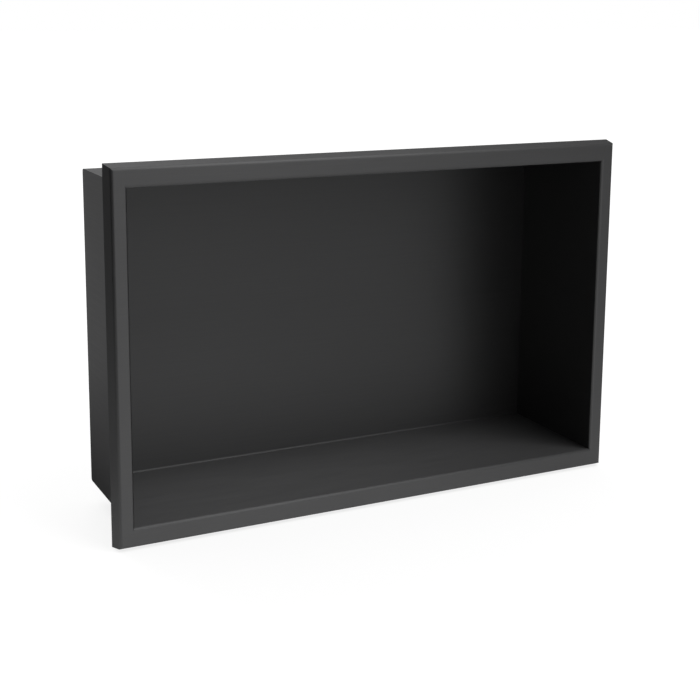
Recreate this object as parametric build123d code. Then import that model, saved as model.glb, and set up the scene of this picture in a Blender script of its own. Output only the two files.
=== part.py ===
from build123d import *
import math
import os

# Shower niche insert: a five-sided box folded and welded from one gauge of stainless sheet,
# with a flat front rim and a return folded back from the rim's outer edge to meet the wall.
# The floor, back and ceiling are one folded strip with the two sides welded in, and the rim and
# the return are mitred and welded at their four corners.
#
# Frame: +Z up, +Y into the wall, +X to the right when facing the niche. The origin is the centre
# of the opening in the plane of the return's rear edge, which is the face of the finished wall.

# Driving dimensions, in millimetres and degrees
opening_width = 495.0       # clear width inside the niche
opening_height = 305.0      # clear height inside the niche
overall_depth = 138.0       # rim's front face to the outside of the back panel
sheet = 1.2                 # thickness of the sheet
rim_side_width = 14.0       # edge of the opening to the outer bend line, left and right
rim_top_width = 17.5        # the same at the top and the bottom
return_depth = 16.0         # rim's front face to the rear edge of the return
return_splay = 10.0         # how far the return leans outward from square
bend_radius = 1.8           # inside radius of every fold

# Sizes worked out from the driving dimensions
front_y = -return_depth
back_y = front_y + overall_depth
outer_bend_radius = bend_radius + sheet
face_width = opening_width + 2 * rim_side_width
face_height = opening_height + 2 * rim_top_width
splay_slope = math.tan(math.radians(return_splay))
return_wall = sheet / math.cos(math.radians(return_splay))


def rim_block(start_y, inset=0.0):
    """The rim and return as a splayed block that ends at the wall, drawn in by an inset."""
    growth = (start_y - front_y) * splay_slope - inset
    block = Pos(0, start_y / 2, 0) * Box(face_width + 2 * growth, -start_y, face_height + 2 * growth)
    start_plane = Plane(origin=(0, start_y, 0), x_dir=(1, 0, 0), z_dir=(0, 1, 0))
    sides = block.faces().filter_by(Axis.Y, reverse=True)
    return draft(sides, start_plane, -return_splay)


def tray(width, height, start_y, end_y, radius):
    """A block with a fold along the top and the bottom of its far end, and welded sharp sides."""
    block = Pos(0, (start_y + end_y) / 2, 0) * Box(width, end_y - start_y, height)
    far_face = block.faces().sort_by(Axis.Y)[-1]
    return fillet(far_face.edges().filter_by(Axis.X), radius)


def make_niche():
    """The whole folded and welded insert as one solid."""
    box_outside = tray(
        opening_width + 2 * sheet,
        opening_height + 2 * sheet,
        front_y + sheet,
        back_y,
        outer_bend_radius,
    )
    cavity = tray(opening_width, opening_height, front_y - sheet, back_y - sheet, bend_radius)

    # The hollow behind the rim, between the return and the box, with its two inside folds
    channel = rim_block(front_y + sheet, inset=return_wall) - box_outside
    channel_floor = channel.faces().sort_by(Axis.Y)[0]
    channel = fillet(channel_floor.edges(), bend_radius)

    niche = rim_block(front_y) + box_outside - channel - cavity

    # The outside of the same two folds: round the opening and round the rim
    front_face = niche.faces().sort_by(Axis.Y)[0]
    return fillet(front_face.edges(), outer_bend_radius)


os.makedirs("parts", exist_ok=True)
export_step(make_niche(), "parts/niche_body.step")
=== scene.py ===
import math

import bpy
from mathutils import Matrix, Vector


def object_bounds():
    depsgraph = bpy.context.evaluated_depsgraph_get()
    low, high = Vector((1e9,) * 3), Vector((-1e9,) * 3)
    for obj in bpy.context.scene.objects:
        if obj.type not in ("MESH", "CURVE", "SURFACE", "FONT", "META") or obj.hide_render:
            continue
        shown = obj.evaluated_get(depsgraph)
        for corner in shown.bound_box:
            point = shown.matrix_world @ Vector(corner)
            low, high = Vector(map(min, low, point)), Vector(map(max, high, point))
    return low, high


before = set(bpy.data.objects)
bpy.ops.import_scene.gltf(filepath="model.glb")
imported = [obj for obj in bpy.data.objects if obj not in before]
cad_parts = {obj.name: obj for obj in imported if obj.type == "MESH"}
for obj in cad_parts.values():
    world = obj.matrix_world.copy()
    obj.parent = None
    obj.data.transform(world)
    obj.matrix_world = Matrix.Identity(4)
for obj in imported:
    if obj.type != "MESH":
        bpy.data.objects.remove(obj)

# A shower niche insert of brushed black steel, alone on a white studio floor.
# Everything is in metres, in the part's own frame: +Z up, +Y into the wall, +X to the right.

cad_low, cad_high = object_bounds()
NICHE = "niche_body"

# Camera: where it stands, how it is turned and what lens it has
CAMERA_PLACE = Vector((-0.5691, -1.0826, 0.3080))
CAMERA_YAW = math.radians(26.540)       # to the right of straight into the wall
CAMERA_PITCH = math.radians(10.460)     # down
CAMERA_ROLL = math.radians(-0.455)
CAMERA_LENS_MM = 67.357
CAMERA_SENSOR_MM = 36.0
CAMERA_SHIFT_Y = -0.15

# World: the strength that the camera sees, that the steel reflects and that lights matt surfaces
WHITE = (1.0, 1.0, 1.0, 1.0)
WORLD_SEEN = 1.0
WORLD_REFLECTED = 0.45
WORLD_AMBIENT = 0.6

# Floor, as the camera sees it and as the steel reflects it
FLOOR_SIZE = 40.0
FLOOR_GAP = 0.0005                      # between the lowest edge of the return and the floor
FLOOR_SEEN_COLOR = 0.25
FLOOR_SEEN_NEAR = 0.80                  # glow that brings the lit floor up to white, near the part
FLOOR_SEEN_FAR = 0.92                   # the same where the lamps hardly reach
FLOOR_NEAR_REACH = 0.4                  # up to this far from the pool's centre the near glow holds
FLOOR_FAR_REACH = 3.0                   # and from here on the far one
FLOOR_REFLECTED_FRONT = 0.45            # painted shade: in what the steel reflects, the floor is darker towards the camera
FLOOR_REFLECTED_REAR = 0.95
FLOOR_FRONT_Y = -1.0                    # where the front grey ends and the rear one begins
FLOOR_REAR_Y = 0.0
POOL_CENTRE = (-0.1, -0.15)             # painted light: the steel reflects a glowing pool in front of the part, where no lamp is
POOL_GLOW = 0.7
POOL_CORE = 0.1                         # radius within which it has its full strength
POOL_EDGE = 0.6                         # radius at which it ends

# Black flag at the left, which only reflections show: painted shade that darkens what the rim's left
# edge reflects
FLAG_X = -0.6
FLAG_NEAR_Y = -3.0
FLAG_FAR_Y = 0.65
FLAG_HEIGHT = 1.2

# Black card on the floor, which only reflections show: a painted shadow of the box, which darkens what
# the foot of the box's left side reflects
SHADOW_CARD_LEFT_X = -0.34
SHADOW_CARD_RIGHT_X = -0.25
SHADOW_CARD_NEAR_Y = 0.10
SHADOW_CARD_FAR_Y = 0.45
SHADOW_CARD_LIFT = 0.0002                      # above the floor

# The flag and the card are of the same matt black, the painted shade
PAINTED_SHADE_COLOR = (0.01, 0.01, 0.01, 1.0)

# Softboxes: one over the front, and one behind that brightens the left of the top edge
FRONT_PLACE = (0.6, -0.9, 1.9)
FRONT_WIDTH = 1.2
FRONT_HEIGHT = 0.8
FRONT_POWER = 21.0
REAR_PLACE = (-0.17, 1.8, 1.7)
REAR_WIDTH = 1.66
REAR_HEIGHT = 1.6
REAR_POWER = 26.0

# Black steel
STEEL_DARK = (0.083, 0.083, 0.084, 1.0)
STEEL_LIGHT = (0.094, 0.094, 0.095, 1.0)
STEEL_EDGE_TINT = (0.5, 0.5, 0.5, 1.0)  # how much of the glare at a grazing angle is left
STEEL_METAL = 0.92                      # the rest is matt, and lifts the shaded inside out of black
STEEL_ROUGHNESS = (0.50, 0.58)          # on the dark and on the light streaks
STEEL_ANISOTROPY = 0.8
STREAK_LENGTH = 0.06                    # along the brushing
STREAK_WIDTH = 0.0006                   # across it
STREAK_DETAIL = 3.0                     # octaves of finer streaks
STREAK_DEPTH = 0.00002                  # of the relief
STREAK_BUMP = 0.2                       # how much of the relief shows
STREAK_LOW, STREAK_HIGH = 0.3, 0.7      # the streaks' usual range, out of 0 to 1
FACING = 0.7                            # least part of a normal along an axis that a face looks along


def empty_tree(owner):
    """The node tree of a world or a material, without its first nodes."""
    owner.use_nodes = True
    owner.node_tree.nodes.clear()
    return owner.node_tree


def set_inputs(tree, node, values):
    """Links a node's inputs to other nodes' outputs, or sets them to plain values."""
    for key, value in values.items():
        if isinstance(value, bpy.types.NodeSocket):
            tree.links.new(value, node.inputs[key])
        else:
            node.inputs[key].default_value = value


def add_node(tree, kind, inputs, **settings):
    """A new node of a tree, with its settings and its inputs."""
    node = tree.nodes.new(kind)
    for name, value in settings.items():
        setattr(node, name, value)
    set_inputs(tree, node, inputs)
    return node


def add_math(tree, operation, first, second=0.0):
    """The output of a Math node."""
    node = add_node(tree, "ShaderNodeMath", {0: first, 1: second}, operation=operation)
    return node.outputs[0]


def add_choice(tree, factor, off, on):
    """One number where the factor is 0 and another where it is 1."""
    inputs = {"Factor": factor, "A": off, "B": on}
    node = add_node(tree, "ShaderNodeMix", inputs, data_type="FLOAT")
    return node.outputs["Result"]


def add_range(tree, value, low, high, to_low, to_high):
    """A number moved from one range to another, and held at its ends."""
    inputs = {"Value": value, "From Min": low, "From Max": high, "To Min": to_low, "To Max": to_high}
    node = add_node(tree, "ShaderNodeMapRange", inputs)
    return node.outputs["Result"]


def by_ray(tree, seen, reflected, other):
    """One number for what the camera sees, one for what the steel reflects and one for the rest."""
    path = add_node(tree, "ShaderNodeLightPath", {})
    view = add_math(tree, "MAXIMUM", path.outputs["Is Camera Ray"], path.outputs["Is Transmission Ray"])
    not_seen = add_choice(tree, path.outputs["Is Glossy Ray"], other, reflected)
    return add_choice(tree, view, not_seen, seen)


def make_camera():
    """The camera, at the photograph's viewing angle."""
    forward = Vector((
        math.sin(CAMERA_YAW) * math.cos(CAMERA_PITCH),
        math.cos(CAMERA_YAW) * math.cos(CAMERA_PITCH),
        -math.sin(CAMERA_PITCH),
    ))
    right = Vector((math.cos(CAMERA_YAW), -math.sin(CAMERA_YAW), 0.0))
    up = right.cross(forward)
    turn = Matrix((right, up, -forward)).transposed().to_4x4()
    data = bpy.data.cameras.new("camera")
    data.lens = CAMERA_LENS_MM
    data.sensor_width = CAMERA_SENSOR_MM
    data.shift_y = CAMERA_SHIFT_Y
    camera = bpy.data.objects.new("camera", data)
    camera.matrix_world = Matrix.Translation(CAMERA_PLACE) @ turn @ Matrix.Rotation(-CAMERA_ROLL, 4, "Z")
    bpy.context.scene.collection.objects.link(camera)
    bpy.context.scene.camera = camera


def make_world():
    """A white background, and plain surroundings for the steel to reflect."""
    world = bpy.data.worlds.new("studio")
    tree = empty_tree(world)
    strength = by_ray(tree, WORLD_SEEN, WORLD_REFLECTED, WORLD_AMBIENT)
    background = add_node(tree, "ShaderNodeBackground", {"Color": WHITE, "Strength": strength})
    add_node(tree, "ShaderNodeOutputWorld", {"Surface": background.outputs[0]})
    bpy.context.scene.world = world


def floor_color(tree, point):
    """The floor's grey: one to the camera, and in the steel one with painted shade, darker towards the
    front.
    """
    parts = add_node(tree, "ShaderNodeSeparateXYZ", {0: point})
    # painted shade: the floor that the steel reflects darkens towards the front
    painted_shade_grey = add_range(
        tree, parts.outputs["Y"],
        FLOOR_FRONT_Y, FLOOR_REAR_Y, FLOOR_REFLECTED_FRONT, FLOOR_REFLECTED_REAR,
    )
    return by_ray(tree, FLOOR_SEEN_COLOR, painted_shade_grey, FLOOR_REFLECTED_REAR)


def floor_glow(tree, point, level):
    """The floor's glow: up to white to the camera, and in the steel a painted pool of light, where the
    floor glows though it is no lamp.
    """
    inputs = {0: point, 1: (*POOL_CENTRE, level)}
    reach = add_node(tree, "ShaderNodeVectorMath", inputs, operation="DISTANCE")
    distance = reach.outputs["Value"]
    seen = add_range(
        tree, distance,
        FLOOR_NEAR_REACH, FLOOR_FAR_REACH, FLOOR_SEEN_NEAR, FLOOR_SEEN_FAR,
    )
    # painted light: the floor glows in a pool, but only in what the steel reflects
    painted_pool = add_range(tree, distance, POOL_CORE, POOL_EDGE, POOL_GLOW, 0.0)
    return by_ray(tree, seen, painted_pool, 0.0)


def floor_material(level):
    """A white floor that still takes a shadow."""
    material = bpy.data.materials.new("studio_floor")
    tree = empty_tree(material)
    point = add_node(tree, "ShaderNodeTexCoord", {}).outputs["Object"]
    matt = add_node(tree, "ShaderNodeBsdfDiffuse", {"Color": floor_color(tree, point)})
    strength = floor_glow(tree, point, level)
    glow = add_node(tree, "ShaderNodeEmission", {"Color": WHITE, "Strength": strength})
    total = add_node(tree, "ShaderNodeAddShader", {0: matt.outputs[0], 1: glow.outputs[0]})
    add_node(tree, "ShaderNodeOutputMaterial", {"Surface": total.outputs[0]})
    return material


def painted_shade_material():
    """Matt black, for the painted shade and shadow that only reflections show."""
    material = bpy.data.materials.new("painted_shade_black")
    tree = empty_tree(material)
    # painted shade: plain black that stands in for shade in what the steel reflects
    matt = add_node(tree, "ShaderNodeBsdfDiffuse", {"Color": PAINTED_SHADE_COLOR})
    add_node(tree, "ShaderNodeOutputMaterial", {"Surface": matt.outputs[0]})
    return material


def level_corners(left, right, near, far, height):
    """The corners of a level rectangle."""
    return [(left, near, height), (right, near, height), (right, far, height), (left, far, height)]


def add_panel(name, corners, material):
    """One flat face of the studio."""
    mesh = bpy.data.meshes.new(name)
    mesh.from_pydata(corners, [], [(0, 1, 2, 3)])
    mesh.materials.append(material)
    panel = bpy.data.objects.new(name, mesh)
    bpy.context.scene.collection.objects.link(panel)
    return panel


def add_hidden_panel(name, corners, material):
    """A panel that only reflections show."""
    panel = add_panel(name, corners, material)
    panel.visible_camera = False
    panel.visible_diffuse = False
    panel.visible_shadow = False


def make_stage():
    """A plain pale floor just under the part, and the flag and the card of painted shade, which only
    reflections show.
    """
    level = cad_low.z - FLOOR_GAP
    half = FLOOR_SIZE / 2
    add_panel("studio_floor", level_corners(-half, half, -half, half, level), floor_material(level))

    shade_sheet = painted_shade_material()
    top = level + FLAG_HEIGHT
    # painted shade: a black flag that only reflections show darkens the rim's left edge
    flag_corners = [
        (FLAG_X, FLAG_NEAR_Y, level),
        (FLAG_X, FLAG_FAR_Y, level),
        (FLAG_X, FLAG_FAR_Y, top),
        (FLAG_X, FLAG_NEAR_Y, top),
    ]
    add_hidden_panel("painted_shade_flag", flag_corners, shade_sheet)
    # painted shadow: a black card that only reflections show stands in for the box's shadow on the floor
    shadow_card_corners = level_corners(SHADOW_CARD_LEFT_X, SHADOW_CARD_RIGHT_X, SHADOW_CARD_NEAR_Y, SHADOW_CARD_FAR_Y, level + SHADOW_CARD_LIFT)
    add_hidden_panel("painted_shadow_card", shadow_card_corners, shade_sheet)


def add_softbox(name, place, width, height, power):
    """A rectangular lamp that faces the part."""
    data = bpy.data.lights.new(name, "AREA")
    data.shape = "RECTANGLE"
    data.size = width
    data.size_y = height
    data.energy = power
    lamp = bpy.data.objects.new(name, data)
    lamp.location = place
    lamp.rotation_mode = "QUATERNION"
    lamp.rotation_quaternion = (-Vector(place)).to_track_quat("-Z", "Y")
    lamp.visible_camera = False
    bpy.context.scene.collection.objects.link(lamp)


def make_lights():
    """The two softboxes."""
    add_softbox("front_softbox", FRONT_PLACE, FRONT_WIDTH, FRONT_HEIGHT, FRONT_POWER)
    add_softbox("rear_softbox", REAR_PLACE, REAR_WIDTH, REAR_HEIGHT, REAR_POWER)


def looks_along(tree, normal, axis):
    """1 where a face looks along an axis, either way, and 0 elsewhere."""
    along = add_math(tree, "ABSOLUTE", normal.outputs[axis])
    return add_math(tree, "GREATER_THAN", along, FACING)


def brush_streaks(tree, position, on_side):
    """The streaks left by the brush, from 0 to 1."""
    point = add_node(tree, "ShaderNodeSeparateXYZ", {0: position})

    # The brush ran level: along the depth on the sides, and from left to right on all the rest
    depth_scale = add_choice(tree, on_side, 1 / STREAK_WIDTH, 1 / STREAK_LENGTH)
    stretched = add_node(tree, "ShaderNodeCombineXYZ", {
        "X": add_math(tree, "DIVIDE", point.outputs["X"], STREAK_LENGTH),
        "Y": add_math(tree, "MULTIPLY", point.outputs["Y"], depth_scale),
        "Z": add_math(tree, "DIVIDE", point.outputs["Z"], STREAK_WIDTH),
    })
    inputs = {"Vector": stretched.outputs[0], "Scale": 1.0, "Detail": STREAK_DETAIL}
    return add_node(tree, "ShaderNodeTexNoise", inputs).outputs["Fac"]


def across_brushing(tree, on_level):
    """The direction across the streaks: up on an upright face, and into the wall on a level one."""
    on_upright = add_math(tree, "SUBTRACT", 1.0, on_level)
    return add_node(tree, "ShaderNodeCombineXYZ", {"Y": on_level, "Z": on_upright}).outputs[0]


def streak_color(tree, streaks):
    """The steel's colour, from the dark streaks to the light ones."""
    ramp = add_node(tree, "ShaderNodeValToRGB", {"Fac": streaks})
    dark, light = ramp.color_ramp.elements
    dark.color = STEEL_DARK
    dark.position = STREAK_LOW
    light.color = STEEL_LIGHT
    light.position = STREAK_HIGH
    return ramp.outputs["Color"]


def black_steel():
    """Black steel with a brushed satin finish: streaks in its colour, gloss and relief."""
    material = bpy.data.materials.new("black_steel_brushed")
    material.use_nodes = True
    tree = material.node_tree
    coordinates = add_node(tree, "ShaderNodeTexCoord", {})
    normal = add_node(tree, "ShaderNodeSeparateXYZ", {0: coordinates.outputs["Normal"]})
    streaks = brush_streaks(tree, coordinates.outputs["Object"], looks_along(tree, normal, "X"))
    relief = {"Height": streaks, "Strength": STREAK_BUMP, "Distance": STREAK_DEPTH}

    # Reflections spread along the tangent, which is across the brushing
    set_inputs(tree, tree.nodes["Principled BSDF"], {
        "Base Color": streak_color(tree, streaks),
        "Metallic": STEEL_METAL,
        "Roughness": add_range(tree, streaks, STREAK_LOW, STREAK_HIGH, *STEEL_ROUGHNESS),
        "Specular Tint": STEEL_EDGE_TINT,
        "Anisotropic": STEEL_ANISOTROPY,
        "Normal": add_node(tree, "ShaderNodeBump", relief).outputs["Normal"],
        "Tangent": across_brushing(tree, looks_along(tree, normal, "Z")),
    })
    return material


def dress_niche():
    """Gives the folded steel its finish."""
    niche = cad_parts[NICHE]
    niche.data.materials.clear()
    niche.data.materials.append(black_steel())


bpy.context.scene.view_settings.view_transform = "Standard"
make_camera()
make_world()
make_stage()
make_lights()
dress_niche()
